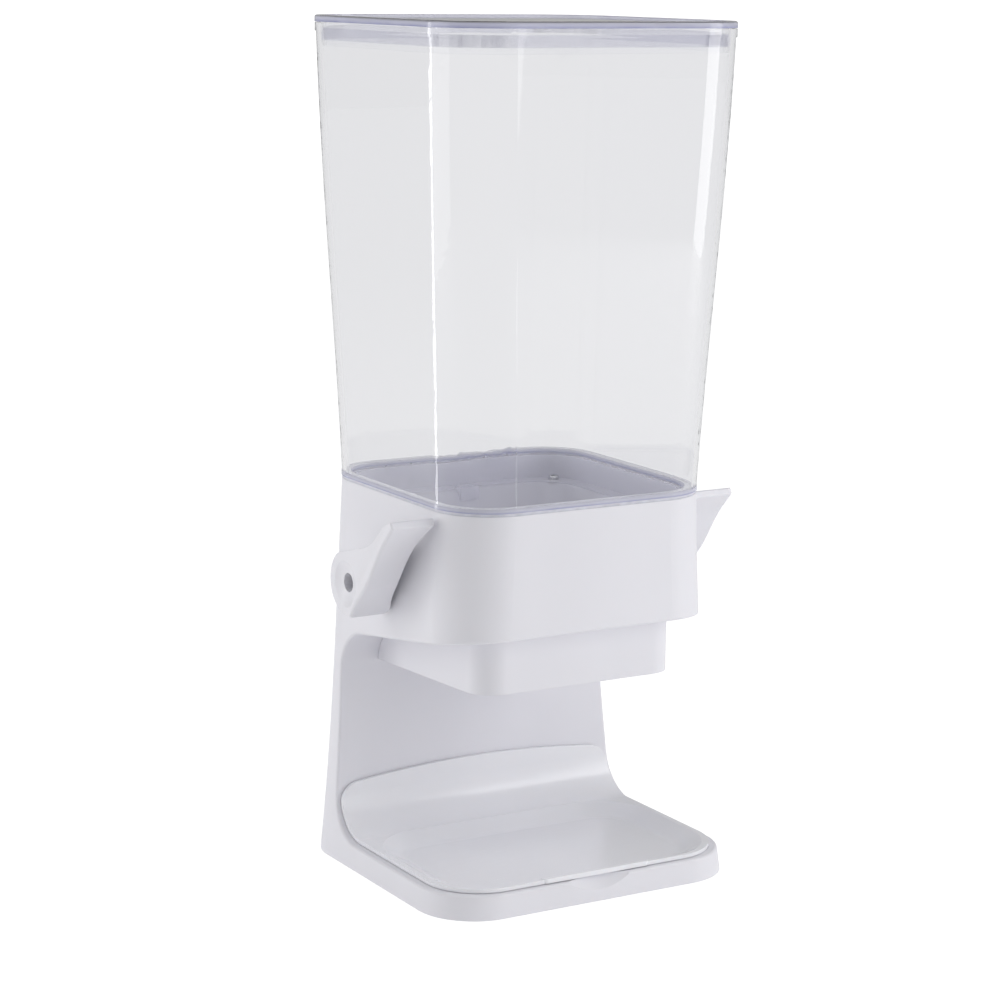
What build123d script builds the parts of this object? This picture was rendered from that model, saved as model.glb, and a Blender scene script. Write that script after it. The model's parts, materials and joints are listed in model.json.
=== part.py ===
from build123d import *
import math
import os

# A twin-lever cereal dispenser. Millimetres, +Z up, front towards -Y.
# Origin: on the table, straight below the crossing of the hopper's axis and the levers' axis.

# ---- overall sizes -------------------------------------------------------------------------
TOTAL_HEIGHT = 423.0
LEVER_SPAN = 195.0

# ---- stand ---------------------------------------------------------------------------------
WALL = 2.5
STAND_BOTTOM = 0.5
RIM_Z = 193.5
# height, half width, front edge's Y and corner radius of the stand's outer form
STAND_SECTIONS = [
    (STAND_BOTTOM, 85.0, -84.3, 30.0),
    (97.0, 77.2, -75.0, 29.5),
    (145.0, 74.6, -72.7, 29.0),
    (RIM_Z, 72.3, -72.5, 29.0),
]
STAND_BACK = 72.5
FOOT_TOP = 12.3
UNDERSIDE_Z = 122.4
UNDERSIDE_SLOPE = 0.147
COLUMN_FACE_Y = 36.0
COLUMN_LEAN = 0.066
FOOT_FILLET = 22.0
UNDERSIDE_FILLET = 20.0
SHELL_EDGE = 1.4
# half width, front and back of the two overlapping holes in the housing's floor
FLOOR_HOLES = [(43.0, -42.0, 17.5), (54.3, -17.0, 17.5)]
# beyond every part of the stand
FAR = 150.0

# ---- levers, axles and gate ----------------------------------------------------------------
AXLE_Z = 152.5
AXLE_R = 4.0
AXLE_FLAT = 3.2
AXLE_INNER_X = 50.5
AXLE_OUTER_X = 83.3
AXLE_TAP_DEPTH = 12.0
RUNNING_GAP = 0.05
BUSH_R = 6.0
BUSH_FLANGE_R = 8.5
BUSH_SEAT_R = 9.5
BUSH_SEAT_X = 71.0
BUSH_SEAT = 2.5
BUSH_END_X = 75.4
BUSH_FLANGE = 1.5
GATE_INNER_R = 31.5
GATE_PLATE = 2.0
GATE_SPAN = 27.0
GATE_ARM_X = 50.0
GATE_ARM = 2.5
GATE_HUB_R = 7.5
GATE_HUB_END = 60.0
GATE_FINGER = 17.5
GATE_FINGER_HALF = 2.0
PEG_R = 1.5
PEG_DROP = 14.0
SET_SCREW_X = 57.8
SET_SCREW_R = 1.5
SPRING_R = 8.9
SPRING_WIRE = 0.6
SPRING_START_X = 62.0
SPRING_TURNS = 4
SPRING_PITCH = 1.6
SPRING_LEGS = (17.0, 16.0)
# the stops start at this X; low and high Y and Z of their lugs and of the bumpers on the lugs
STOP_X = 53.0
STOP_WIDTH = 3.0
LUG_ROOT_X = 72.5
CLOSED_LUG = (4.3, 8.2, 163.0, 170.0)
CLOSED_BUMPER = (2.3, 4.3, 164.0, 169.5)
OPEN_LUG = (-19.3, -15.3, 156.0, 162.5)
OPEN_BUMPER = (-15.3, -11.3, 157.0, 161.6)

# ---- levers --------------------------------------------------------------------------------
LEVER_WALL = 2.3
LEVER_INNER_X = 76.3
LEVER_HUB_R = 15.5
LEVER_BOSS_R = 8.0
CHEEK_X = 96.8
HUB_DISH = (10.8, 2.3)
HUB_SETBACK = 7.0
HEEL_CORNER = 3.5
HEEL = (-7.0, 136.6)
TIP = (-48.6, 187.7)
# the paddle's inner edge bows outwards: its X at the heel, half way up and at the tip
PADDLE_INNER = (76.4, 80.2, 74.6)
# width of the paddle's flat front rim, and of the slope from it down to the cheek
FLANK = (4.5, 11.0)
FRONT_ROUND = 1.5
TIP_ROUND = 1.0
RECESS_R = 4.7
RECESS_FLOOR_X = 86.5
WASHER = 0.6

# ---- clear parts ---------------------------------------------------------------------------
SEAL = 1.5
SEAL_BAND = (72.1, 69.9)
FLANGE = 2.1
FLANGE_HALF = 72.7
HOPPER_WALL = 2.2
HOPPER_LIP = 4.0
TAB_X = (22.0, 36.5)
TAB_DROP = 5.5
TAB = 2.2
LID_PLATE = 3.2
LID_GAP = 0.4
LID_HALF = 83.0
LID_R = 30.5
LID_DISH = 5.0
LID_DISH_DEPTH = 1.0
LID_LOW = TOTAL_HEIGHT - LID_PLATE
PLUG_HALF = 79.1
PLUG_R = 26.6
PLUG_WALL = 1.8
PLUG_DEPTH = 11.6
GROOVE = (3.0, 8.8)
GROOVE_DEPTH = 0.7
GASKET = 0.8
GASKET_RIB = 1.0
HOPPER_TOP = LID_LOW - LID_GAP
# height, half width and corner radius of the hopper's outside
HOPPER_SECTIONS = [
    (RIM_Z + SEAL, 72.4, 29.0),
    (265.0, 75.6, 29.3),
    (330.0, 79.0, 29.7),
    (HOPPER_TOP, 82.4, 30.0),
]
FLANGE_INNER = 67.0
LEDGE_Z = 182.0
LEDGE = 2.0
FUNNEL_HALF = 66.4
FUNNEL_R = 24.0
BOWL_HALF = 58.0
THROAT_Z = 146.0
THROAT_X = 32.0
THROAT_Y = 12.5
THROAT_R = 4.0
FUNNEL_WALL = 2.0
SKIRT_WALL = 1.8
SKIRT_RISE = 0.8
OUTLET_R = 30.0
OUTLET_LOW = 40.0
CATCH_X = 6.2
CATCH_Y = (49.0, 57.0)
CATCH_Z = (171.0, 183.5)
CATCH_WALL = 1.2
GUSSET_X = 38.5
GUSSET = 1.6
WIPER = 1.2
WIPER_TOP = 22.0

# ---- posts and screws ----------------------------------------------------------------------
POST_XY = 55.2
POST_R = 5.0
CHUTE_POST_R = 3.9
FOOT_POST_R = 5.5
PILOT_R = 1.25
CLEARANCE_R = 1.6
# head radius, head height, shank radius and shank length
FOOT_SCREW = (2.9, 1.3, PILOT_R, 5.6)
CHUTE_SCREW = (2.8, 2.0, PILOT_R, 10.0)
FUNNEL_SCREW = (2.8, 2.0, PILOT_R, 12.0)
LEVER_SCREW = (2.9, 2.4, 1.5, 13.0)
LEVER_SCREW_HOLE = 1.6

# ---- chute, tray and foot ------------------------------------------------------------------
CHUTE_HALF = 55.9
CHUTE_FRONT = -62.6
CHUTE_R = 13.6
# the chute's blank before the column and the housing's underside trim it
CHUTE_BACK = 60.0
CHUTE_BLANK = (80.0, 150.0)
CHUTE_INNER_BACK = 39.0
CHUTE_Z = 104.4
CHUTE_SLOPE = 0.04
CHUTE_WALL = 2.2
CHUTE_SCREWS = [(48.0, -55.0), (48.0, -24.0)]
CHUTE_LUG = 4.5
CHUTE_LUG_DROP = 4.0
TRAY_HALF = 79.8
TRAY_FRONT = -80.4
TRAY_R = 28.5
TRAY_GAP = 0.3
TRAY_SHEET = 2.0
# the upright back's height at its edges and in the middle, and its corner radius
TRAY_BACK_Z = (37.6, 43.0)
TRAY_BACK_R = 11.0
DISH_BACK = 18.9
DISH_FILLET = 8.0
TAB_HALF = 31.0
PAN_HALF = 64.0
PAN_FRONT = -66.0
PAN_BACK = 6.0
PAN_R = 16.0
PAN_Z = 6.5
PAN_RAMP = math.tan(math.radians(26.0))
PAN_GAP = 0.4
NOTCH_HALF = 21.7
NOTCH_DEPTH = 7.0
NOTCH_LIP = 6.0
FOOT_CEILING = 4.0
SLAB_BACK = 24.0
FOOT_PLATE_LOW = STAND_BOTTOM + 0.2
FOOT_PLATE_TOP = FOOT_PLATE_LOW + 2.0
FOOT_HEAD_Z = FOOT_PLATE_LOW + 1.2
FOOT_SCREWS = [(73.0, -45.0), (45.0, 65.5)]
RUBBER_FEET = [(62.0, -60.0), (62.0, 52.0)]
RUBBER_R = 6.5
RUBBER_TOP = FOOT_PLATE_LOW + 1.0


# ---- helpers -------------------------------------------------------------------------------
def box(x0, x1, y0, y1, z0, z1):
    """Box from its low and high corners."""
    return Pos(x0, y0, z0) * Box(x1 - x0, y1 - y0, z1 - z0, align=(Align.MIN, Align.MIN, Align.MIN))


def plan(half_x, front, back, radius):
    """Rounded rectangle in plan, as a sketch at z = 0."""
    return Pos(0, (front + back) / 2) * RectangleRounded(2 * half_x, back - front, radius)


def plan_block(half_x, front, back, radius, z0, z1):
    """Upright block with a rounded-rectangle plan."""
    return Pos(0, 0, z0) * extrude(plan(half_x, front, back, radius), amount=z1 - z0, dir=(0, 0, 1))


def square_ring(outer, inner, r_outer, r_inner, z0, z1):
    """Upright square ring with rounded corners."""
    solid = plan_block(outer, -outer, outer, r_outer, z0, z1)
    return solid - plan_block(inner, -inner, inner, r_inner, z0 - 1, z1 + 1)


def side_block(sketch, x0, x1):
    """Solid from a side-view sketch whose local x is Y and local y is Z."""
    return extrude(Plane.YZ.offset(x0) * sketch, amount=x1 - x0, dir=(1, 0, 0))


def side_polygon(*points):
    """Side-view polygon of (Y, Z) points."""
    return Polygon(*points, align=None)


def x_cylinder(radius, x0, x1, y=0.0, z=AXLE_Z):
    """Cylinder along X."""
    return Pos((x0 + x1) / 2, y, z) * Rot(0, 90, 0) * Cylinder(radius, x1 - x0)


def z_cylinder(radius, x, y, z0, z1):
    """Cylinder along Z."""
    return Pos(x, y, (z0 + z1) / 2) * Cylinder(radius, z1 - z0)


def both_sides(solid):
    """The solid and its mirror image in the centre plane."""
    return [solid, mirror(solid, about=Plane.YZ)]


def four_ways(pairs):
    """Signed copies of (x, y) pairs on both sides of the centre plane."""
    return [(side * x, y) for x, y in pairs for side in (-1, 1)]


def underside(y):
    """Height of the housing's sloping underside at depth y."""
    return UNDERSIDE_Z - UNDERSIDE_SLOPE * y


def write(name, solids):
    """Save one node, as one solid or as a group of separate solids."""
    parts = solids if isinstance(solids, list) else [solids]
    loose = [piece for part in parts for piece in part.solids()]
    shape = loose[0] if len(loose) == 1 else Compound(children=loose)
    export_step(shape, f"parts/{name}.step")


# ---- stand ---------------------------------------------------------------------------------
def stand_form(inset):
    """The stand's tapering form: the outside, or the inside when inset is the wall."""
    sections = []
    for z, half, front, radius in STAND_SECTIONS:
        outline = plan(half - inset, front + inset, STAND_BACK - inset, radius - inset)
        sections.append(Pos(0, 0, z) * outline)
    return loft(sections)


def bowl_space(grow):
    """Side view of the open space between foot, column and housing, grown into the walls."""
    low_y = COLUMN_FACE_Y + COLUMN_LEAN * FOOT_TOP
    high_y = (COLUMN_FACE_Y + COLUMN_LEAN * UNDERSIDE_Z) / (1 + COLUMN_LEAN * UNDERSIDE_SLOPE)
    corners = side_polygon(
        (-FAR, FOOT_TOP), (low_y, FOOT_TOP), (high_y, underside(high_y)), (-FAR, underside(-FAR))
    )
    back = corners.vertices().sort_by(Axis.X)[-2:].sort_by(Axis.Y)
    rounded = fillet(back[0], FOOT_FILLET)
    top_corner = rounded.vertices().sort_by_distance((high_y, underside(high_y)))[0]
    rounded = fillet(top_corner, UNDERSIDE_FILLET)
    return offset(rounded, amount=grow) if grow else rounded


def pan_form(lift, spread, top):
    """Frustum of the tray's pan: ramped sides all round, lifted and spread from the foot's recess."""
    low = PAN_Z + lift
    sections = []
    for z, grow in ((low, spread), (top, spread + (top - low) / PAN_RAMP)):
        sections.append(Pos(0, 0, z) * plan(PAN_HALF + grow, PAN_FRONT - grow, PAN_BACK + grow, PAN_R + grow))
    return loft(sections, ruled=True)


def finger_notch():
    """Cone that scoops a shallow crescent out of the foot's front, under the tray's lip."""
    radius = (NOTCH_HALF**2 + NOTCH_DEPTH**2) / (2 * NOTCH_DEPTH)
    front = STAND_SECTIONS[0][2] - 0.2
    cone = Cone(radius + 0.2, radius - NOTCH_DEPTH, NOTCH_LIP)
    return Pos(0, front + NOTCH_LIP / 2, FOOT_TOP - NOTCH_DEPTH + radius) * Rot(-90, 0, 0) * cone


def stand_cavity():
    """Inside of the hollow stand; the housing's floor and the foot's slab stay solid."""
    cavity = stand_form(WALL) - side_block(bowl_space(WALL), -FAR, FAR)
    floor_back = side_polygon(
        (0, underside(0)), (FAR, underside(FAR)), (FAR, underside(FAR) + WALL), (0, underside(0) + WALL)
    )
    cavity -= side_block(floor_back, -FAR, FAR)
    return cavity - box(-FAR, FAR, -FAR, SLAB_BACK, FOOT_CEILING, FOOT_TOP + 4)


def side_wall_fittings():
    """Bush seat and stop lugs inside the right-hand wall."""
    fittings = x_cylinder(BUSH_SEAT_R, BUSH_SEAT_X, BUSH_SEAT_X + BUSH_SEAT)
    for low_y, high_y, low_z, high_z in (CLOSED_LUG, OPEN_LUG):
        fittings += box(STOP_X, LUG_ROOT_X, low_y, high_y, low_z, high_z)
    return fittings


def stand_shell():
    body = stand_form(0) - side_block(bowl_space(0), -FAR, FAR)
    rim_edges = [edge for edge in body.edges() if on_opening(edge)]
    body = fillet(rim_edges, SHELL_EDGE)
    body -= stand_cavity()
    body -= pan_form(0, 0, FOOT_TOP + 1)
    body -= finger_notch()
    for half, front, back in FLOOR_HOLES:
        body -= box(-half, half, front, back, UNDERSIDE_Z - 10, UNDERSIDE_Z + 12)
    above_floor = side_block(
        side_polygon((-FAR, underside(-FAR) + 1), (FAR, underside(FAR) + 1), (FAR, FAR * 2), (-FAR, FAR * 2)),
        -FAR, FAR,
    )
    post_top = LEDGE_Z - LEDGE
    for x, y in four_ways([(POST_XY, -POST_XY), (POST_XY, POST_XY)]):
        body += z_cylinder(POST_R, x, y, 80, post_top) & above_floor
        body -= z_cylinder(PILOT_R, x, y, post_top - 12, LEDGE_Z)
    for x, y in four_ways(CHUTE_SCREWS):
        body += z_cylinder(CHUTE_POST_R, x, y, 80, underside(y) + 10) & above_floor
        body -= z_cylinder(PILOT_R, x, y, underside(y) - 2, underside(y) + 8)
    for x, y in four_ways(FOOT_SCREWS):
        if y > 0:
            body += z_cylinder(FOOT_POST_R, x, y, FOOT_PLATE_TOP, 18)
        body -= z_cylinder(PILOT_R, x, y, STAND_BOTTOM, 8.5)
    bush_hole = x_cylinder(BUSH_R, BUSH_SEAT_X - 3, BUSH_END_X + 3)
    for fittings in both_sides(side_wall_fittings()):
        body += fittings
    for hole in both_sides(bush_hole):
        body -= hole
    return body


def on_opening(edge):
    """True for an edge that runs along the rim of the bowl space on the stand's outside."""
    spot = edge.center()
    between_ends = STAND_BOTTOM + 1 < spot.Z < RIM_Z - 1
    on_side = abs(spot.X) > 60
    on_front = spot.Y < -40 and edge.length > 20
    return between_ends and (on_side or on_front)


def foot_plate():
    front, radius = STAND_SECTIONS[0][2:]
    half = STAND_SECTIONS[0][1]
    inset = WALL + 0.4
    plate = plan_block(
        half - inset, front + inset, STAND_BACK - inset, radius - inset, FOOT_PLATE_LOW, FOOT_PLATE_TOP
    )
    for x, y in four_ways(RUBBER_FEET):
        plate -= z_cylinder(RUBBER_R + 0.1, x, y, 0, RUBBER_TOP)
    for x, y in four_ways(FOOT_SCREWS):
        plate -= z_cylinder(CLEARANCE_R, x, y, 0, FOOT_PLATE_TOP + 1)
        plate -= z_cylinder(FOOT_SCREW[0] + 0.2, x, y, 0, FOOT_HEAD_Z)
    return plate


def rubber_feet():
    feet = []
    for x, y in four_ways(RUBBER_FEET):
        foot = z_cylinder(RUBBER_R, x, y, 0, RUBBER_TOP)
        feet.append(fillet(foot.edges().sort_by(Axis.Z)[0], 0.4))
    return feet


def screw(head_r, head, shank_r, length):
    """Pan-head screw with its head's underside at the origin and its shank along -Z."""
    body = Pos(0, 0, head / 2) * Cylinder(head_r, head)
    body = fillet(body.edges().sort_by(Axis.Z)[-1], head * 0.4)
    body += Pos(0, 0, -length / 2) * Cylinder(shank_r, length)
    slot_w, slot_d = head_r * 0.36, head * 0.55
    for angle in (0, 90):
        body -= Pos(0, 0, head - slot_d / 2) * Rot(0, 0, angle) * Box(head_r * 1.2, slot_w, slot_d)
    return body


def foot_plate_screws():
    turned = Rot(180, 0, 0) * screw(*FOOT_SCREW)
    return [Pos(x, y, FOOT_HEAD_Z) * turned for x, y in four_ways(FOOT_SCREWS)]


# ---- chute and tray ------------------------------------------------------------------------
def chute():
    bottom = side_polygon(
        (-FAR, CHUTE_Z + CHUTE_SLOPE * (FAR + CHUTE_FRONT)),
        (FAR, CHUTE_Z - CHUTE_SLOPE * (FAR - CHUTE_FRONT)),
        (FAR, FAR + 50), (-FAR, FAR + 50),
    )
    low, high = CHUTE_BLANK
    inner_half, inner_front, inner_r = (
        CHUTE_HALF - CHUTE_WALL, CHUTE_FRONT + CHUTE_WALL, CHUTE_R - CHUTE_WALL,
    )
    outer = plan_block(CHUTE_HALF, CHUTE_FRONT, CHUTE_BACK, CHUTE_R, low, high)
    inner = plan_block(inner_half, inner_front, CHUTE_INNER_BACK, inner_r, low - 1, high + 1)
    region = side_block(bottom, -FAR, FAR) & side_block(bowl_space(-0.2), -FAR, FAR)
    walls = (outer - inner) & region
    for x, y in four_ways(CHUTE_SCREWS):
        side = 1 if x > 0 else -1
        low_x, high_x = sorted((x - side * CHUTE_LUG, side * (CHUTE_HALF - 1)))
        front = CHUTE_FRONT + 1 if y < -40 else y - CHUTE_LUG
        lug = box(low_x, high_x, front, y + CHUTE_LUG, underside(y) - CHUTE_LUG_DROP, underside(y) + 6)
        walls += lug & region & outer
        walls -= z_cylinder(CLEARANCE_R, x, y, underside(y) - 10, underside(y) + 10)
    return walls


def chute_screws():
    turned = Rot(180, 0, 0) * screw(*CHUTE_SCREW)
    return [Pos(x, y, underside(y) - CHUTE_LUG_DROP) * turned for x, y in four_ways(CHUTE_SCREWS)]


def tray_outline():
    """Front-view outline of the tray's upright back: an arched top with rounded corners."""
    edge_z, middle_z = TRAY_BACK_Z
    arch = make_face(
        [
            Line((-TRAY_HALF, 0), (TRAY_HALF, 0)),
            Line((TRAY_HALF, 0), (TRAY_HALF, edge_z)),
            ThreePointArc((TRAY_HALF, edge_z), (0, middle_z), (-TRAY_HALF, edge_z)),
            Line((-TRAY_HALF, edge_z), (-TRAY_HALF, 0)),
        ]
    )
    return fillet(arch.vertices().sort_by(Axis.Y)[-2:], TRAY_BACK_R)


def tray():
    """Sheet that lies on the foot and climbs the column, with a shallow dish and a lifting lip."""
    sheet = side_block(bowl_space(-TRAY_GAP) - bowl_space(-TRAY_GAP - TRAY_SHEET), -FAR, FAR)
    outline = plan_block(TRAY_HALF, TRAY_FRONT, 80, TRAY_R, 5, 60)
    body = sheet & outline & extrude(Plane.XZ * tray_outline(), amount=100, both=True)
    body += pan_form(PAN_GAP, 0, FOOT_TOP + TRAY_GAP + 0.4)
    hollow = pan_form(PAN_GAP + 2.4, 2.0, 24)
    hollow = fillet(hollow.faces().sort_by(Axis.Z)[0].edges(), DISH_FILLET)
    body -= hollow - box(-FAR, FAR, DISH_BACK, FAR, 0, 60)
    lip_top = FOOT_TOP + TRAY_GAP + TRAY_SHEET + 0.6
    lip = plan_block(TAB_HALF, TRAY_FRONT - 0.8, TRAY_FRONT + 20, 3, FOOT_TOP + 0.5, lip_top)
    return body + (lip - box(-FAR, FAR, TRAY_FRONT + 2.0, FAR, 0, 60))


# ---- funnel and outlet ---------------------------------------------------------------------
def bowl(inset):
    """Solid of the funnel's bowl and throat, at the outside or inset by the wall."""
    half_x, half_y, radius = THROAT_X - inset, THROAT_Y - inset, THROAT_R - inset
    sections = [
        Pos(0, 0, LEDGE_Z) * plan(BOWL_HALF - inset, inset - BOWL_HALF, BOWL_HALF - inset, FUNNEL_R - inset),
        Pos(0, 0, THROAT_Z) * plan(half_x, -half_y, half_y, radius),
    ]
    throat = plan_block(half_x, -half_y, half_y, radius, AXLE_Z - OUTLET_LOW, THROAT_Z)
    return loft(sections, ruled=True) + throat


def funnel():
    skirt_low = LEDGE_Z - LEDGE
    inner_skirt = FUNNEL_HALF - SKIRT_WALL
    skirt_r = FUNNEL_R - SKIRT_WALL
    skirt = square_ring(FUNNEL_HALF, inner_skirt, FUNNEL_R, skirt_r, skirt_low, RIM_Z + SKIRT_RISE)
    ledge = plan_block(FUNNEL_HALF, -FUNNEL_HALF, FUNNEL_HALF, FUNNEL_R, skirt_low, LEDGE_Z)
    body = skirt + ledge + bowl(0)
    body -= bowl(FUNNEL_WALL)
    inner_half = BOWL_HALF - FUNNEL_WALL
    inner_r = FUNNEL_R - FUNNEL_WALL
    body -= plan_block(inner_half, -inner_half, inner_half, inner_r, LEDGE_Z - 0.5, LEDGE_Z + 1)
    below = box(-FAR, FAR, -FAR, FAR, 0, AXLE_Z - 10)
    body -= below - x_cylinder(OUTLET_R, -FAR, FAR)
    low_z, high_z = CATCH_Z
    inside_bowl = plan_block(BOWL_HALF - 0.5, -BOWL_HALF, BOWL_HALF - 0.5, FUNNEL_R, low_z - 1, high_z + 1)
    body += catch_box() & inside_bowl
    for x in (-GUSSET_X, GUSSET_X):
        for side in (-1, 1):
            body += gusset(x, side, skirt_low)
    for x, y in four_ways([(POST_XY, -POST_XY), (POST_XY, POST_XY)]):
        body -= z_cylinder(CLEARANCE_R, x, y, skirt_low - 1, LEDGE_Z + 1)
    return body


def catch_box():
    """Small open box at the back of the bowl that the hopper's rear edge drops behind."""
    low_y, high_y = CATCH_Y
    low_z, high_z = CATCH_Z
    inner_x = CATCH_X - CATCH_WALL
    outside = box(-CATCH_X, CATCH_X, low_y, high_y, low_z, high_z)
    return outside - box(-inner_x, inner_x, low_y + CATCH_WALL, high_y - 1, low_z + CATCH_WALL, high_z + 6)


def gusset(x, side, low_z):
    """Upright rib between the funnel's skirt and the housing's wall, on the front or back side."""
    inner_y = side * (FUNNEL_HALF - 1)
    outline = side_polygon(
        (inner_y, RIM_Z - 1), (inner_y, low_z), (side * (FUNNEL_HALF + 2.6), low_z),
        (side * (FUNNEL_HALF + 1.6), low_z + 2),
    )
    return side_block(outline, x - GUSSET / 2, x + GUSSET / 2)


def funnel_screws():
    spots = four_ways([(POST_XY, -POST_XY), (POST_XY, POST_XY)])
    return [Pos(x, y, LEDGE_Z) * screw(*FUNNEL_SCREW) for x, y in spots]


def outlet_wiper():
    low = AXLE_Z - OUTLET_LOW
    half_x, half_y = THROAT_X + WIPER, THROAT_Y + WIPER
    ring = plan_block(half_x, -half_y, half_y, THROAT_R + WIPER, low, AXLE_Z - WIPER_TOP)
    ring -= plan_block(THROAT_X, -THROAT_Y, THROAT_Y, THROAT_R, low - 10, AXLE_Z)
    return ring & x_cylinder(OUTLET_R + WIPER, -FAR, FAR)


# ---- gate, axles, bushes and springs -------------------------------------------------------
def d_bar(x0, x1):
    """Round bar along X with one flat, facing the back."""
    return x_cylinder(AXLE_R, x0, x1) - box(x0, x1, AXLE_FLAT, AXLE_R + 1, AXLE_Z - 10, AXLE_Z + 10)


def gate_sector(reach):
    """Side-view wedge of the gate's angular span below the axle."""
    half = math.radians(GATE_SPAN)
    return side_polygon(
        (0, AXLE_Z), (-reach * math.sin(half), AXLE_Z - reach * math.cos(half)), (0, AXLE_Z - 2 * reach),
        (reach * math.sin(half), AXLE_Z - reach * math.cos(half)),
    )


def gate_arm():
    """Right-hand arm of the gate: web, hub on the axle, stop finger and spring peg."""
    arm_out = GATE_ARM_X + GATE_ARM
    outer_r = GATE_INNER_R + GATE_PLATE
    arm = x_cylinder(outer_r, GATE_ARM_X, arm_out) & side_block(gate_sector(outer_r + 2), 0, arm_out)
    arm += x_cylinder(GATE_HUB_R, GATE_ARM_X, GATE_HUB_END)
    arm += box(
        STOP_X, STOP_X + STOP_WIDTH, -GATE_FINGER_HALF, GATE_FINGER_HALF, AXLE_Z, AXLE_Z + GATE_FINGER
    )
    peg_y = SPRING_R - SPRING_WIRE - PEG_R - 0.1
    arm += x_cylinder(PEG_R, GATE_ARM_X, SPRING_START_X + 1, peg_y, AXLE_Z - PEG_DROP)
    arm -= d_bar(GATE_ARM_X - 1, GATE_HUB_END + 1)
    tapped = Rot(90, 0, 0) * Cylinder(SET_SCREW_R, 2 * (GATE_HUB_R - AXLE_FLAT))
    return arm - Pos(SET_SCREW_X, GATE_HUB_R, AXLE_Z) * tapped


def gate():
    """Curved plate that closes the outlet, hung on two arms."""
    outer_r = GATE_INNER_R + GATE_PLATE
    arm_out = GATE_ARM_X + GATE_ARM
    body = x_cylinder(outer_r, -arm_out, arm_out) - x_cylinder(GATE_INNER_R, -FAR, FAR)
    body &= side_block(gate_sector(outer_r + 2), -arm_out, arm_out)
    for arm in both_sides(gate_arm()):
        body += arm
    return body


def gate_set_screws():
    length = GATE_HUB_R - AXLE_FLAT - 0.3
    body = Cylinder(SET_SCREW_R, length) - Pos(0, 0, -length / 2) * Box(2.0, 0.6, 1.6)
    return both_sides(Pos(SET_SCREW_X, AXLE_FLAT + length / 2, AXLE_Z) * Rot(90, 0, 0) * body)


def axle():
    """Right-hand stub axle: flats for the gate and the lever, plain where it runs in the bush."""
    body = d_bar(AXLE_INNER_X, GATE_HUB_END + 0.5)
    body += x_cylinder(AXLE_R, GATE_HUB_END + 0.5, LEVER_INNER_X)
    body += d_bar(LEVER_INNER_X, AXLE_OUTER_X)
    return body - x_cylinder(LEVER_SCREW[2], AXLE_OUTER_X - AXLE_TAP_DEPTH, AXLE_OUTER_X + 1)


def axle_bush():
    body = x_cylinder(BUSH_R, BUSH_SEAT_X, BUSH_END_X)
    body += x_cylinder(BUSH_FLANGE_R, BUSH_SEAT_X - BUSH_FLANGE, BUSH_SEAT_X)
    return body - x_cylinder(AXLE_R + RUNNING_GAP, GATE_HUB_END, LEVER_SPAN / 2)


def return_spring():
    """Torsion spring round the axle, with a leg down to the gate's peg and a leg up to the lug."""
    coil = Helix(pitch=SPRING_PITCH, height=SPRING_TURNS * SPRING_PITCH, radius=SPRING_R)
    section = Plane(coil @ 0, z_dir=coil % 0) * Circle(SPRING_WIRE)
    wire = sweep(section, path=coil, is_frenet=True)
    for end, away, leg in ((0, -(coil % 0), SPRING_LEGS[0]), (1, coil % 1, SPRING_LEGS[1])):
        wire += extrude(Plane(coil @ end, z_dir=away) * Circle(SPRING_WIRE), amount=leg, dir=away)
    return Plane(origin=(SPRING_START_X, 0, AXLE_Z), x_dir=(0, 1, 0), z_dir=(1, 0, 0)) * wire


def stop_bumpers():
    bumpers = []
    for low_y, high_y, low_z, high_z in (CLOSED_BUMPER, OPEN_BUMPER):
        bumpers += both_sides(box(STOP_X, STOP_X + STOP_WIDTH, low_y, high_y, low_z, high_z))
    return bumpers


# ---- levers --------------------------------------------------------------------------------
def lever_profile(hub_r, heel, front, tip_low, tip_high, top, hub_top):
    """Side view: hub disc, and a paddle that rises to the front from its heel and its neck."""
    outline = [
        Line((0, AXLE_Z - hub_r), heel),
        Spline(heel, *front, tip_low, tangents=[(-0.42, 0.9), (-0.66, 0.75)]),
        Line(tip_low, tip_high),
        Spline(tip_high, *top, hub_top, tangents=[(0.8, -0.35), (1, -0.3)]),
        ThreePointArc(hub_top, (hub_r, AXLE_Z), (0, AXLE_Z - hub_r)),
    ]
    return make_face(outline)


def lever_outside():
    return lever_profile(
        LEVER_HUB_R, HEEL, [(-21.9, 154.2), (-39.4, 178.0)],
        TIP, (-46.9, 191.0), [(-39.5, 187.2), (-29.0, 178.6)], (2.5, AXLE_Z + 15.3),
    )


def lever_hollow():
    """The same outline, one wall further in."""
    return lever_profile(
        LEVER_HUB_R - LEVER_WALL, (-5.9, AXLE_Z - 13.5), [(-19.9, 155.4), (-37.6, 179.5)],
        (-43.4, 185.4), (-42.6, 186.4), [(-30.0, 176.5)], (2.1, AXLE_Z + 13.0),
    )


def paddle_rise():
    """Direction from the paddle's heel to its tip."""
    return Vector(0, TIP[0] - HEEL[0], TIP[1] - HEEL[1]).normalized()


def along_paddle(sketch, start, length):
    """Solid from a sketch of (X, distance behind the paddle's front), run from heel towards tip."""
    rise = paddle_rise()
    plane = Plane(origin=(0, *HEEL), x_dir=(1, 0, 0), z_dir=rise)
    return extrude(plane.offset(start) * sketch, amount=length, dir=tuple(rise))


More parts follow.
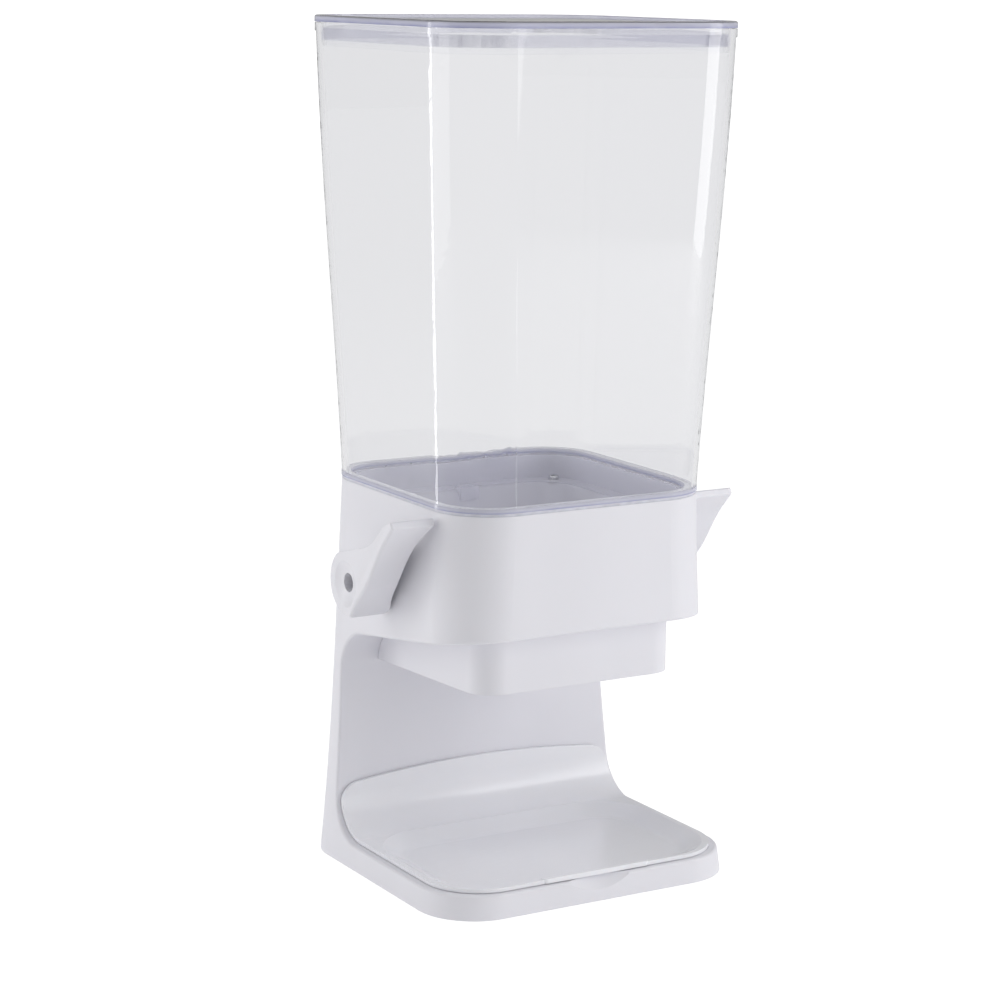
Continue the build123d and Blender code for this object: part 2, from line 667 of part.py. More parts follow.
def paddle_width():
    """Front view of the paddle: from its bowed inner edge out to the lever's outer face."""
    length = math.hypot(TIP[0] - HEEL[0], TIP[1] - HEEL[1])
    heel_x, middle_x, tip_x = PADDLE_INNER
    outer_x = LEVER_SPAN / 2
    corner_x = heel_x + HEEL_CORNER
    outline = make_face(
        [
            Line((corner_x, -20), (corner_x, 0)),
            RadiusArc((corner_x, 0), (heel_x, HEEL_CORNER), HEEL_CORNER),
            ThreePointArc((heel_x, HEEL_CORNER), (middle_x, length / 2), (tip_x, length)),
            Line((tip_x, length), (tip_x, length + 20)),
            Line((tip_x, length + 20), (outer_x, length + 20)),
            Line((outer_x, length + 20), (outer_x, -20)),
            Line((outer_x, -20), (corner_x, -20)),
        ]
    )
    rise = paddle_rise()
    plane = Plane(origin=(0, *HEEL), x_dir=(1, 0, 0), z_dir=(0, -rise.Z, rise.Y))
    return extrude(plane * outline, amount=60, both=True)


def hub_space():
    """Space of the hub disc, kept back from the paddle's front."""
    outer_x = LEVER_SPAN / 2
    disc = x_cylinder(LEVER_HUB_R + 1, LEVER_INNER_X, outer_x)
    front = Polygon((0, -FAR), (FAR, -FAR), (FAR, HUB_SETBACK), (0, HUB_SETBACK), align=None)
    return disc - along_paddle(front, -FAR, 2 * FAR)


def hub_dish():
    """Ball that hollows the hub's cheek round the screw's recess."""
    radius, depth = HUB_DISH
    ball_r = (radius**2 + depth**2) / (2 * depth)
    return Pos(CHEEK_X - depth + ball_r, 0, AXLE_Z) * Sphere(ball_r)


def lever_form():
    """Solid form of the right-hand lever, with its outer front edge and its tip rounded."""
    rim, slope = FLANK
    outer_x = LEVER_SPAN / 2
    body = side_block(lever_outside(), LEVER_INNER_X - 5, outer_x)
    body &= paddle_width() + hub_space()
    dished = Polygon((outer_x, rim), (CHEEK_X, slope), (CHEEK_X, FAR), (FAR, FAR), (FAR, rim), align=None)
    body -= along_paddle(dished, -FAR, 2 * FAR)
    outer_edges = body.edges().filter_by(lambda edge: edge.center().X > outer_x - 0.1)
    front_edge = outer_edges.filter_by(GeomType.BSPLINE).sort_by(SortBy.LENGTH)[-1]
    body = fillet(front_edge, FRONT_ROUND)
    tip_edges = body.edges().filter_by(lambda edge: edge.center().Z > TIP[1] - 0.1 and edge.length > 15)
    return fillet(tip_edges, TIP_ROUND)


def lever():
    """Right-hand lever: hollow shell, open towards the housing, with a boss on the axle."""
    outer_x = LEVER_SPAN / 2
    body = lever_form() - side_block(lever_hollow(), 60, CHEEK_X - LEVER_WALL)
    body += x_cylinder(LEVER_BOSS_R, LEVER_INNER_X, CHEEK_X)
    body -= hub_dish()
    body -= d_bar(LEVER_INNER_X - 1, AXLE_OUTER_X + 0.2)
    body -= x_cylinder(LEVER_SCREW_HOLE, AXLE_OUTER_X - 1, RECESS_FLOOR_X + 1)
    return body - x_cylinder(RECESS_R, RECESS_FLOOR_X, outer_x + 5)


def lever_screw():
    return Pos(RECESS_FLOOR_X + WASHER, 0, AXLE_Z) * Rot(0, 90, 0) * screw(*LEVER_SCREW)


def lever_washer():
    body = x_cylinder(4.2, RECESS_FLOOR_X, RECESS_FLOOR_X + WASHER)
    return body - x_cylinder(LEVER_SCREW[2] + 0.05, RECESS_FLOOR_X - 1, RECESS_FLOOR_X + 2)


# ---- hopper and lid ------------------------------------------------------------------------
def hopper_form(inset):
    sections = []
    for z, half, radius in HOPPER_SECTIONS:
        outline = plan(half - inset, inset - half, half - inset, radius - inset)
        sections.append(Pos(0, 0, z) * outline)
    return loft(sections)


def hopper():
    """Clear tapering box with a flange at its foot, a thick lip at its top and four hanging tabs."""
    base_z = RIM_Z + SEAL
    body = hopper_form(0) - hopper_form(HOPPER_WALL)
    body += square_ring(FLANGE_HALF, FLANGE_INNER, 29.2, 24.5, base_z, base_z + FLANGE)
    lip = HOPPER_SECTIONS[-1][1] + 0.5
    body += square_ring(lip, lip - 1.7, 30.5, 29.0, HOPPER_TOP - HOPPER_LIP, HOPPER_TOP)
    for side in (-1, 1):
        low_x, high_x = sorted((side * TAB_X[0], side * TAB_X[1]))
        tab = box(low_x, high_x, FLANGE_INNER, FLANGE_INNER + TAB, base_z - TAB_DROP, base_z + 1)
        body += tab + mirror(tab, about=Plane.XZ)
    return body


def hopper_seal():
    outer, inner = SEAL_BAND
    return square_ring(outer, inner, 29.0, 29.0 - outer + inner, RIM_Z, RIM_Z + SEAL)


def lid():
    """Clear plate with a shallow dish on top and a grooved plug ring below."""
    plate = plan_block(LID_HALF, -LID_HALF, LID_HALF, LID_R, LID_LOW, TOTAL_HEIGHT)
    plate = fillet(plate.faces().sort_by(Axis.Z)[-1].edges(), 1.1)
    dish_half = LID_HALF - LID_DISH
    dish_z = TOTAL_HEIGHT - LID_DISH_DEPTH
    plate -= plan_block(dish_half, -dish_half, dish_half, LID_R - LID_DISH, dish_z, TOTAL_HEIGHT + 1)
    plug_inner, plug_r = PLUG_HALF - PLUG_WALL, PLUG_R - PLUG_WALL
    plug = square_ring(PLUG_HALF, plug_inner, PLUG_R, plug_r, LID_LOW - PLUG_DEPTH, LID_LOW + 0.5)
    groove_half, groove_r = PLUG_HALF - GROOVE_DEPTH, PLUG_R - GROOVE_DEPTH
    high, low = GROOVE
    groove = square_ring(LID_HALF, groove_half, LID_R, groove_r, LID_LOW - low, LID_LOW - high)
    return plate + (plug - groove)


def lid_gasket():
    """Silicone band in the plug's groove, with one sealing rib round its middle."""
    low, high = LID_LOW - GROOVE[1] + 0.1, LID_LOW - GROOVE[0] - 0.1
    inner = PLUG_HALF - GROOVE_DEPTH
    outer = inner + GASKET
    radius = PLUG_R + GASKET - GROOVE_DEPTH
    ring = square_ring(outer, inner, radius, PLUG_R - GROOVE_DEPTH, low, high)
    rib_low = (low + high - GASKET_RIB) / 2
    rib = square_ring(outer + 0.4, outer - 0.2, radius + 0.4, radius - 0.2, rib_low, rib_low + GASKET_RIB)
    return ring + rib


# ---- hand-in -------------------------------------------------------------------------------
os.makedirs("parts", exist_ok=True)

right_axle = axle()
right_bush = axle_bush()
right_lever = lever()
right_spring = return_spring()

NODES = {
    "stand_shell": stand_shell(),
    "foot_plate": foot_plate(),
    "foot_plate_screws": foot_plate_screws(),
    "rubber_feet": rubber_feet(),
    "chute": chute(),
    "chute_screws": chute_screws(),
    "tray": tray(),
    "funnel": funnel(),
    "funnel_screws": funnel_screws(),
    "outlet_wiper": outlet_wiper(),
    "gate": gate(),
    "gate_set_screws": gate_set_screws(),
    "axle_right": right_axle,
    "axle_left": mirror(right_axle, about=Plane.YZ),
    "axle_bush_right": right_bush,
    "axle_bush_left": mirror(right_bush, about=Plane.YZ),
    "return_spring_right": right_spring,
    "return_spring_left": mirror(right_spring, about=Plane.YZ),
    "stop_bumpers": stop_bumpers(),
    "lever_right": right_lever,
    "lever_left": mirror(right_lever, about=Plane.YZ),
    "lever_screws": both_sides(lever_screw()),
    "lever_washers": both_sides(lever_washer()),
    "hopper": hopper(),
    "hopper_seal": hopper_seal(),
    "lid": lid(),
    "lid_gasket": lid_gasket(),
}

for node, solids in NODES.items():
    write(node, solids)
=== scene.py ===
import json
import math

import bpy
from mathutils import Matrix, Vector


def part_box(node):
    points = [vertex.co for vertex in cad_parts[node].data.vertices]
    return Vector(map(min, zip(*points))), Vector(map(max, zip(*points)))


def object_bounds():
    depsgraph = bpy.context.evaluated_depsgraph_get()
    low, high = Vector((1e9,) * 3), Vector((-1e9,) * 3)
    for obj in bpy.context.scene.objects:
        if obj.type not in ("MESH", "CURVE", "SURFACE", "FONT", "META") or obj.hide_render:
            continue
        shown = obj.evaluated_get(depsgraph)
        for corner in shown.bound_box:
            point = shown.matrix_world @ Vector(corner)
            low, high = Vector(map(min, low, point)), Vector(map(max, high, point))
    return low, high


# A twin-lever cereal dispenser. Metres, +Z up, front towards -Y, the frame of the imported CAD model.

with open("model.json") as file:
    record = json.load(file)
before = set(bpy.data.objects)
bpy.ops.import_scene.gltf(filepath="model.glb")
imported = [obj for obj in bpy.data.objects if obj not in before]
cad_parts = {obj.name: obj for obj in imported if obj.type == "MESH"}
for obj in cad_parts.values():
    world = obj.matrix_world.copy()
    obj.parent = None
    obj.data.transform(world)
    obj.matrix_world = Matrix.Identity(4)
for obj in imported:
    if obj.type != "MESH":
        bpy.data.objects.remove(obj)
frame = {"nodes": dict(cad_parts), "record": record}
cad_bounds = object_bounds()
nodes = frame["nodes"]

MM = 0.001

# ---- painted glow on clear edges -----------------------------------------------------------
# thickness of the hopper's flange on its seal, and the gap between the hopper's rim and the lid's plate
FLANGE = 2.1 * MM
LID_GAP = 0.4 * MM

# ---- camera: degrees, metres, and millimetres for the lens and its sensor ------------------
VIEW_AZIMUTH = -30.7
VIEW_ELEVATION = 11.0
VIEW_ROLL = 0.7
VIEW_PLACE = Vector((-0.6946, -1.1532, 0.4465))
VIEW_FAR = 50.0
LENS = 98.55
SENSOR = 36.0

# ---- colours, as linear light --------------------------------------------------------------
WHITE = (1.0, 1.0, 1.0)
WHITE_ABS = (0.790, 0.785, 0.830)
TRAY_WHITE = (0.870, 0.870, 0.905)
CLEAR_SKIN = (0.985, 0.986, 0.992)
CLEAR_TINT = (0.955, 0.955, 0.970)
EDGE_TINT = (0.48, 0.50, 0.78)
# painted light: the cut edge of a clear sheet is painted blue at the bottom and grey at the top,
# in place of the light that runs inside the sheet and comes out of its edge
PAINTED_GLOW_BLUE = (0.20, 0.22, 0.44)
PAINTED_GLOW_GREY = (0.66, 0.66, 0.74)
MILK = (0.86, 0.86, 0.90)
SILICONE = (0.66, 0.66, 0.73)
RUBBER = (0.035, 0.035, 0.038)
BUSH_WHITE = (0.62, 0.61, 0.57)
ZINC = (0.62, 0.63, 0.66)
TURNED_STEEL = (0.52, 0.52, 0.54)
FLOOR_WHITE = (0.93, 0.93, 0.935)

# ---- brightness of the surroundings --------------------------------------------------------
# THROUGH and SEEN are fixed levels, for light through clear parts and for the camera; WASH is the
# share of the camera's level on the floor, and the rest shows the lit floor with its shadows
FLOOR_GLOW = 0.17
FLOOR_THROUGH = 0.84
FLOOR_SEEN = 1.15
FLOOR_WASH = 0.85
AMBIENT = 0.42

# ---- lights: azimuth and elevation in degrees; distance, width and height in metres; watts --
LIGHTS = {
    "left": (-112.0, 12.0, 1.5, 1.1, 1.7, 6.6),
    "right": (48.0, 14.0, 1.7, 0.8, 1.4, 12.0),
    "top": (-20.0, 80.0, 1.5, 1.2, 1.0, 4.0),
    "strip_left": (-131.0, 2.0, 0.62, 0.07, 0.5, 0.45),
    "strip_right": (21.0, 2.0, 0.62, 0.05, 0.5, 0.14),
}

# ---- surface detail: noise in features per metre -------------------------------------------
FLOW_MARKS = 18.0
GLOSS_RIPPLES = 14.0
CLEAR_WAVES = 9.0
CLEAR_HAZE = 160.0
EDGE_STREAKS = 60.0
SMUDGES = 55.0
RUB_MARKS = 120.0
SPARK_GRAIN = 3800.0
DUST_PATCHES = 240.0
RUBBER_GRAIN = 2600.0
METAL_LINES = 900.0
DULL_SPOTS = 350.0
FLOOR_MOTTLE = 2.5
FLOOR_GRAIN = 700.0

# ---- surface detail: how far sharp edges look rounded --------------------------------------
# width of the edges that satin plastic paints lighter as a painted highlight and makes glossier as worn
WORN_AND_HIGHLIGHT_EDGE = 0.7 * MM
MOULDED_EDGE = 0.35 * MM
RUBBER_EDGE = 0.25 * MM
METAL_EDGE = 0.15 * MM

# ---- refraction ----------------------------------------------------------------------------
PLASTIC_IOR = 1.5
RUBBER_IOR = 1.42


# ---- shared helpers ------------------------------------------------------------------------
def link(item):
    """Puts a new object into the scene."""
    bpy.context.scene.collection.objects.link(item)


def outward(azimuth, elevation):
    """Unit vector from the object towards a light or camera; azimuth 0 is the front, degrees."""
    a, e = math.radians(azimuth), math.radians(elevation)
    return Vector((math.sin(a) * math.cos(e), -math.cos(a) * math.cos(e), math.sin(e)))


def scaled(colour, factor):
    return tuple(c * factor for c in colour)


def tones(colour, low, high):
    """Two shades of one colour."""
    return scaled(colour, low), scaled(colour, high)


def scatter(shader, weight, depth, spread=None):
    """Lets light into the surface by about depth metres; spread is each colour's share of that."""
    shader.inputs["Subsurface Weight"].default_value = weight
    shader.inputs["Subsurface Scale"].default_value = depth
    if spread:
        shader.inputs["Subsurface Radius"].default_value = spread


# ---- material helpers ----------------------------------------------------------------------
class Shader:
    """A material under construction: adds nodes, sets their inputs and links them."""

    def __init__(self, name):
        self.material = bpy.data.materials.new(name)
        self.material.use_nodes = True
        self.tree = self.material.node_tree
        self.tree.nodes.clear()
        self.output = self.tree.nodes.new("ShaderNodeOutputMaterial")
        self.place = self.add("ShaderNodeTexCoord").outputs["Object"]

    def add(self, kind, settings=None, **inputs):
        """A node with its settings and inputs; an input may be a value or another node's output."""
        node = self.tree.nodes.new(kind)
        for key, value in (settings or {}).items():
            setattr(node, key, value)
        for key, value in inputs.items():
            self.feed(node.inputs[key.replace("_", " ")], value)
        return node

    def feed(self, socket, value):
        if isinstance(value, bpy.types.NodeSocket):
            self.tree.links.new(value, socket)
        elif isinstance(value, tuple) and len(value) == 3 and socket.type == "RGBA":
            socket.default_value = (*value, 1.0)
        else:
            socket.default_value = value

    def stretched(self, scale):
        """Object coordinates scaled along each axis."""
        return self.add("ShaderNodeMapping", Vector=self.place, Scale=scale).outputs["Vector"]

    def noise(self, scale, detail=3.0, roughness=0.5, where=None):
        """Grey noise, with its scale in features per metre."""
        node = self.add(
            "ShaderNodeTexNoise", Vector=where or self.place, Scale=scale, Detail=detail, Roughness=roughness
        )
        return node.outputs["Fac"]

    def remap(self, value, low, high, from_low=0.3, from_high=0.7):
        """Value from one range spread over another, clamped."""
        node = self.add("ShaderNodeMapRange", Value=value)
        for key, number in (
            ("From Min", from_low), ("From Max", from_high), ("To Min", low), ("To Max", high),
        ):
            node.inputs[key].default_value = number
        return node.outputs["Result"]

    def math(self, operation, first, second=0.0):
        node = self.add("ShaderNodeMath", {"operation": operation})
        self.feed(node.inputs[0], first)
        self.feed(node.inputs[1], second)
        return node.outputs["Value"]

    def blend(self, share, first, second):
        """Mix of two colours."""
        node = self.add("ShaderNodeMix", {"data_type": "RGBA"})
        self.feed(node.inputs["Factor"], share)
        self.feed(node.inputs[6], first)
        self.feed(node.inputs[7], second)
        return node.outputs[2]

    def bump(self, height, depth, below=None):
        """Normal from a height field whose full range is depth metres."""
        node = self.add("ShaderNodeBump", Height=height, Distance=depth, Strength=1.0)
        if below:
            self.feed(node.inputs["Normal"], below)
        return node.outputs["Normal"]

    def rounded(self, radius):
        """Normal that rounds sharp edges off by a small radius."""
        return self.add("ShaderNodeBevel", {"samples": 4}, Radius=radius).outputs["Normal"]

    def edge_mask(self, radius):
        """1 on sharp edges, 0 on faces."""
        soft = self.rounded(radius)
        true = self.add("ShaderNodeNewGeometry").outputs["Normal"]
        dot = self.add("ShaderNodeVectorMath", {"operation": "DOT_PRODUCT"})
        self.feed(dot.inputs[0], soft)
        self.feed(dot.inputs[1], true)
        return self.remap(dot.outputs["Value"], 1.0, 0.0, 0.90, 0.995)

    def layered(self, share, below, above):
        """Mix of two surface shaders."""
        node = self.add("ShaderNodeMixShader", Fac=share)
        self.tree.links.new(below, node.inputs[1])
        self.tree.links.new(above, node.inputs[2])
        return node.outputs["Shader"]

    def clouded(self, body, colour, share, normal):
        """The body with a share of milky scatter that passes light both ways."""
        front = self.add("ShaderNodeBsdfDiffuse", Color=colour, Normal=normal)
        through = self.add("ShaderNodeBsdfTranslucent", Color=colour, Normal=normal)
        cloud = self.layered(0.5, front.outputs["BSDF"], through.outputs["BSDF"])
        return self.layered(share, body, cloud)

    def painted_edge_glow(self, body, heights, normal):
        """The body with a painted glow on the cut edge of a clear sheet between two heights: painted light,
        blue at the bottom and grey at the top.
        """
        low, high = heights
        height = self.add("ShaderNodeSeparateXYZ", Vector=self.place).outputs["Z"]
        facing = self.add("ShaderNodeNewGeometry").outputs["True Normal"]
        upright = self.math("ABSOLUTE", self.add("ShaderNodeSeparateXYZ", Vector=facing).outputs["Z"])
        above, below = self.math("GREATER_THAN", height, low), self.math("LESS_THAN", height, high)
        mask = self.math("MULTIPLY", above, below)
        mask = self.math("MULTIPLY", mask, self.remap(upright, 1.0, 0.0, 0.5, 0.85))
        streak = self.noise(EDGE_STREAKS, 3.0, 0.6, self.stretched((1.0, 1.0, 0.0)))
        middle = low + (high - low) * 0.5
        # painted glow: the edge's colour runs from blue at the bottom to grey at the top, with grey streaks
        colour = self.blend(self.remap(height, 0.0, 1.0, low, middle), PAINTED_GLOW_BLUE, PAINTED_GLOW_GREY)
        colour = self.blend(self.remap(streak, 0.0, 0.5), colour, PAINTED_GLOW_GREY)
        share = self.remap(height, 0.85, 0.45, low, high)
        glow = self.add(
            "ShaderNodeBsdfPrincipled", Base_Color=colour, Roughness=0.12, IOR=PLASTIC_IOR, Normal=normal
        )
        return self.layered(self.math("MULTIPLY", mask, share), body, glow.outputs["BSDF"])

    def finish(self, surface, volume=None):
        self.tree.links.new(surface, self.output.inputs["Surface"])
        if volume:
            self.tree.links.new(volume, self.output.inputs["Volume"])
        return self.material


def satin_plastic(name, colour, roughness, grain_depth, subsurface=0.12):
    """Opaque moulded plastic: fine spark texture, faint flow marks, and worn, slightly glossier edges that
    carry a painted highlight.
    """
    s = Shader(name)
    dark, light = tones(colour, 0.97, 1.0)
    flow = s.noise(FLOW_MARKS, 2.0, 0.5, s.stretched((1.0, 1.0, 0.35)))
    shade = s.blend(s.remap(flow, 0.0, 1.0), dark, light)
    # painted highlight: sharp edges are painted up to 6% lighter; the same mask makes them less rough, as
    # worn edges are
    edge = s.edge_mask(WORN_AND_HIGHLIGHT_EDGE)
    shade = s.blend(s.math("MULTIPLY", edge, 0.35), shade, scaled(colour, 1.06))
    smudge = s.noise(SMUDGES, 4.0, 0.6)
    rough = s.remap(smudge, roughness - 0.035, roughness + 0.045)
    rough = s.math("SUBTRACT", rough, s.math("MULTIPLY", edge, 0.08))
    grain = s.noise(SPARK_GRAIN, 2.0, 0.6)
    normal = s.bump(grain, grain_depth, s.rounded(MOULDED_EDGE))
    normal = s.bump(flow, 0.05 * MM, normal)
    shader = s.add(
        "ShaderNodeBsdfPrincipled", Base_Color=shade, Roughness=rough, IOR=PLASTIC_IOR, Normal=normal,
    )
    scatter(shader, subsurface, 1.2 * MM, (1.0, 0.85, 0.8))
    return s.finish(shader.outputs["BSDF"])


def gloss_plastic(name, colour, roughness):
    """Polished moulded plastic with a clear skin, faint ripples and fine rub marks."""
    s = Shader(name)
    dark, light = tones(colour, 0.98, 1.0)
    flow = s.noise(GLOSS_RIPPLES, 2.0)
    rubs = s.noise(RUB_MARKS, 5.0, 0.65, s.stretched((1.0, 9.0, 3.0)))
    rough = s.remap(rubs, roughness - 0.02, roughness + 0.06, 0.35, 0.75)
    normal = s.bump(flow, 0.10 * MM, s.rounded(MOULDED_EDGE))
    shader = s.add(
        "ShaderNodeBsdfPrincipled", Base_Color=s.blend(s.remap(flow, 0.0, 1.0), dark, light),
        Roughness=rough, IOR=PLASTIC_IOR, Normal=normal,
    )
    scatter(shader, 0.25, 2.0 * MM, (1.0, 0.9, 0.85))
    shader.inputs["Coat Weight"].default_value = 0.25
    shader.inputs["Coat Roughness"].default_value = 0.12
    return s.finish(shader.outputs["BSDF"])


def clear_plastic(name, absorb, ripple, roughness=0.015, edge=None, milk=0.0):
    """Clear styrene: refracts, tints where it's thick, lets light through to what it covers.

    absorb is the density of the tint, ripple the depth of the surface waves; edge is the low and
    high Z of a cut edge with a painted glow, painted light in place of light out of the sheet;
    milk is the share of cloudiness."""
    s = Shader(name)
    wave = s.noise(CLEAR_WAVES, 2.0, 0.4, s.stretched((1.0, 1.0, 0.25)))
    haze = s.noise(CLEAR_HAZE, 4.0, 0.65, s.stretched((3.0, 3.0, 0.6)))
    rough = s.remap(haze, roughness, roughness * 3.0, 0.4, 0.8)
    normal = s.bump(wave, ripple)
    glass = s.add(
        "ShaderNodeBsdfPrincipled", Base_Color=CLEAR_SKIN, Roughness=rough, IOR=PLASTIC_IOR, Normal=normal,
    )
    glass.inputs["Transmission Weight"].default_value = 1.0
    body = glass.outputs["BSDF"]
    if milk:
        body = s.clouded(body, MILK, milk, normal)
    # painted glow on the cut edge between the two heights in edge
    if edge:
        body = s.painted_edge_glow(body, edge, normal)
    pane = s.add("ShaderNodeBsdfTransparent", Color=CLEAR_TINT)
    path = s.add("ShaderNodeLightPath")
    passing = s.math("MAXIMUM", path.outputs["Is Shadow Ray"], path.outputs["Is Diffuse Ray"])
    surface = s.layered(passing, body, pane.outputs["BSDF"])
    volume = s.add("ShaderNodeVolumeAbsorption", Color=EDGE_TINT, Density=absorb)
    return s.finish(surface, volume.outputs["Volume"])


def soft_rubber(name, colour, roughness, subsurface, grain_depth):
    """Rubber or silicone with a matt, slightly dusty skin."""
    s = Shader(name)
    dark, light = tones(colour, 0.85, 1.08)
    patch = s.noise(DUST_PATCHES, 4.0, 0.6)
    grain = s.noise(RUBBER_GRAIN, 2.0, 0.6)
    shader = s.add(
        "ShaderNodeBsdfPrincipled", Base_Color=s.blend(s.remap(patch, 0.0, 1.0), dark, light),
        Roughness=s.remap(patch, roughness - 0.06, roughness + 0.06), IOR=RUBBER_IOR,
        Normal=s.bump(grain, grain_depth, s.rounded(RUBBER_EDGE)),
    )
    scatter(shader, subsurface, 2.0 * MM)
    return s.finish(shader.outputs["BSDF"])


def clear_silicone(name, share):
    """Soft clear rubber: mostly see-through, with a thin milky body and a dull sheen."""
    s = Shader(name)
    patch = s.noise(DUST_PATCHES, 4.0, 0.6)
    skin = s.add(
        "ShaderNodeBsdfPrincipled", Base_Color=SILICONE, Roughness=s.remap(patch, 0.30, 0.42),
        IOR=RUBBER_IOR, Normal=s.bump(patch, 0.02 * MM),
    )
    pane = s.add("ShaderNodeBsdfTransparent", Color=CLEAR_TINT)
    return s.finish(s.layered(share, pane.outputs["BSDF"], skin.outputs["BSDF"]))


def plated_steel(name, colour, roughness, lines):
    """Metal with fine lines and a few dull spots; lines stretches the pattern along each axis."""
    s = Shader(name)
    dark, light = tones(colour, 0.80, 1.05)
    streak = s.noise(METAL_LINES, 3.0, 0.6, s.stretched(lines))
    spots = s.noise(DULL_SPOTS, 4.0, 0.6)
    shader = s.add(
        "ShaderNodeBsdfPrincipled", Base_Color=s.blend(s.remap(streak, 0.0, 1.0), dark, light),
        Metallic=1.0, Roughness=s.remap(spots, roughness - 0.06, roughness + 0.10),
        Normal=s.bump(streak, 0.012 * MM, s.rounded(METAL_EDGE)),
    )
    return s.finish(shader.outputs["BSDF"])


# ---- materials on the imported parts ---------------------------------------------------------
flange_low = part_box("hopper_seal")[1][2]
plate_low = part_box("hopper")[1][2] + LID_GAP
lid_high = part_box("lid")[1][2]

MATERIALS = {
    "white_shell": satin_plastic("white_shell", WHITE_ABS, 0.40, 0.014 * MM),
    "white_chute": satin_plastic("white_chute", WHITE_ABS, 0.38, 0.012 * MM),
    "white_gate": satin_plastic("white_gate", WHITE_ABS, 0.36, 0.010 * MM),
    "white_lever": satin_plastic("white_lever", WHITE_ABS, 0.33, 0.010 * MM),
    "gloss_white": gloss_plastic("gloss_white", TRAY_WHITE, 0.22),
    "clear_hopper": clear_plastic("clear_hopper", 9.0, 0.10 * MM, edge=(flange_low, flange_low + FLANGE)),
    "clear_lid": clear_plastic("clear_lid", 6.0, 0.12 * MM, edge=(plate_low, lid_high)),
    "clear_funnel": clear_plastic("clear_funnel", 8.0, 0.15 * MM, 0.03, milk=0.30),
    "silicone": soft_rubber("silicone", SILICONE, 0.45, 0.05, 0.010 * MM),
    "rubber": soft_rubber("rubber", RUBBER, 0.62, 0.0, 0.030 * MM),
    "bush": satin_plastic("bush", BUSH_WHITE, 0.45, 0.012 * MM),
    "steel": plated_steel("steel", ZINC, 0.26, (1.0, 1.0, 1.0)),
    "axle_steel": plated_steel("axle_steel", TURNED_STEEL, 0.30, (6.0, 1.0, 1.0)),
    "spring_steel": plated_steel("spring_steel", TURNED_STEEL, 0.34, (1.0, 1.0, 1.0)),
}

for part in frame["record"]["subparts"]:
    mesh = nodes[part["node"]].data
    mesh.materials.clear()
    mesh.materials.append(MATERIALS[part["material_slot"]])

gasket = nodes["lid_gasket"].data
gasket.materials.clear()
gasket.materials.append(clear_silicone("clear_silicone", 0.14))


# ---- stage, light and camera ---------------------------------------------------------------
def pale_for_viewer(s, surface, seen, through):
    """Surface shader at a fixed brightness through clear parts, and mostly so to the camera."""
    path = s.add("ShaderNodeLightPath")
    clear = s.add("ShaderNodeEmission", Color=WHITE, Strength=through).outputs["Emission"]
    bright = s.add("ShaderNodeEmission", Color=WHITE, Strength=seen).outputs["Emission"]
    surface = s.layered(path.outputs["Is Transmission Ray"], surface, clear)
    return s.layered(s.math("MULTIPLY", path.outputs["Is Camera Ray"], FLOOR_WASH), surface, bright)


def studio_floor():
    """Wide round floor of pale card, in rings that grow wider outwards."""
    rings, spokes, radius = 12, 96, 4.5
    vertices = [(0.0, 0.0, 0.0)]
    for ring in range(1, rings + 1):
        for spoke in range(spokes):
            angle = 2 * math.pi * spoke / spokes
            reach = radius * (ring / rings) ** 2
            vertices.append((reach * math.cos(angle), reach * math.sin(angle), 0.0))
    faces = [(0, 1 + spoke, 1 + (spoke + 1) % spokes) for spoke in range(spokes)]
    for ring in range(rings - 1):
        for spoke in range(spokes):
            near, after = 1 + ring * spokes + spoke, 1 + ring * spokes + (spoke + 1) % spokes
            faces.append((near, near + spokes, after + spokes, after))
    mesh = bpy.data.meshes.new("studio_floor")
    mesh.from_pydata(vertices, [], faces)
    floor = bpy.data.objects.new("studio_floor", mesh)
    link(floor)
    s = Shader("studio_floor")
    mottle = s.noise(FLOOR_MOTTLE, 3.0)
    dark, light = tones(FLOOR_WHITE, 0.985, 1.0)
    shader = s.add(
        "ShaderNodeBsdfPrincipled", Base_Color=s.blend(s.remap(mottle, 0.0, 1.0), dark, light),
        Roughness=0.75, Normal=s.bump(s.noise(FLOOR_GRAIN, 2.0), 0.02 * MM),
    )
    shader.inputs["Specular IOR Level"].default_value = 0.15
    shader.inputs["Emission Color"].default_value = (*WHITE, 1.0)
    shader.inputs["Emission Strength"].default_value = FLOOR_GLOW
    mesh.materials.append(s.finish(pale_for_viewer(s, shader.outputs["BSDF"], FLOOR_SEEN, FLOOR_THROUGH)))


def softbox(name, azimuth, elevation, distance, width, height, power, aim):
    """Rectangular area light facing the aim point, unseen by the camera and through clear parts."""
    light = bpy.data.lights.new(name, "AREA")
    light.shape = "RECTANGLE"
    light.size = width
    light.size_y = height
    light.energy = power
    lamp = bpy.data.objects.new(name, light)
    link(lamp)
    back = outward(azimuth, elevation)
    lamp.location = aim + back * distance
    lamp.rotation_mode = "QUATERNION"
    lamp.rotation_quaternion = (-back).to_track_quat("-Z", "Y")
    lamp.visible_camera = False
    lamp.visible_transmission = False


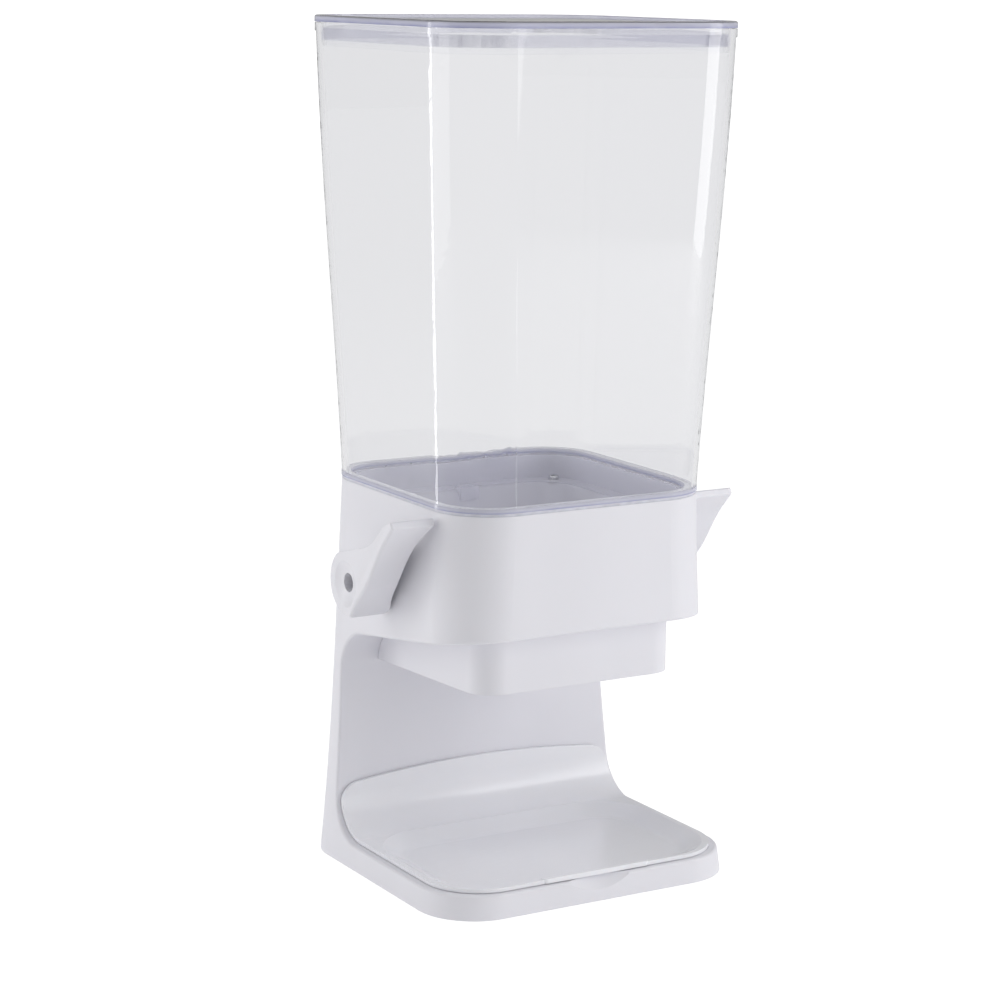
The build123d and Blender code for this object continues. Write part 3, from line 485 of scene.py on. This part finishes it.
def camera():
    """Camera at the reference view, with a slight roll."""
    back = outward(VIEW_AZIMUTH, VIEW_ELEVATION)
    roll = math.radians(VIEW_ROLL)
    right = (-back).cross(Vector((0, 0, 1))).normalized()
    up = right.cross(-back)
    rolled_right = right * math.cos(roll) + up * math.sin(roll)
    rolled_up = up * math.cos(roll) - right * math.sin(roll)
    data = bpy.data.cameras.new("camera")
    data.lens = LENS
    data.sensor_width = SENSOR
    data.clip_end = VIEW_FAR
    cam = bpy.data.objects.new("camera", data)
    link(cam)
    axes = Matrix((rolled_right, rolled_up, back)).transposed().to_4x4()
    cam.matrix_world = Matrix.Translation(VIEW_PLACE) @ axes
    bpy.context.scene.camera = cam


def studio_light():
    low, high = cad_bounds
    aim = (low + high) / 2
    for name, (azimuth, elevation, distance, width, height, power) in LIGHTS.items():
        softbox(name, azimuth, elevation, distance, width, height, power, aim)


def studio_air():
    """Even ambient light, which the camera and light through clear parts see at the floor's levels."""
    world = bpy.data.worlds.new("studio")
    world.use_nodes = True
    tree = world.node_tree
    background = tree.nodes["Background"]
    background.inputs["Color"].default_value = (*WHITE, 1.0)
    path = tree.nodes.new("ShaderNodeLightPath")
    strength = AMBIENT
    for ray, level in (("Is Transmission Ray", FLOOR_THROUGH), ("Is Camera Ray", FLOOR_SEEN)):
        pick = tree.nodes.new("ShaderNodeMix")
        tree.links.new(path.outputs[ray], pick.inputs["Factor"])
        if isinstance(strength, float):
            pick.inputs["A"].default_value = strength
        else:
            tree.links.new(strength, pick.inputs["A"])
        pick.inputs["B"].default_value = level
        strength = pick.outputs["Result"]
    tree.links.new(strength, background.inputs["Strength"])
    bpy.context.scene.world = world


def look():
    """Neutral display of colour, and enough light bounces for the clear parts."""
    scene = bpy.context.scene
    scene.view_settings.view_transform = "Standard"
    scene.view_settings.exposure = 0.0
    scene.cycles.max_bounces = 14
    scene.cycles.transmission_bounces = 14
    scene.cycles.transparent_max_bounces = 24
    scene.cycles.diffuse_bounces = 5
    scene.cycles.glossy_bounces = 6
    scene.cycles.caustics_refractive = False
    scene.cycles.caustics_reflective = False
    scene.cycles.use_denoising = True


studio_floor()
studio_light()
studio_air()
camera()
look()
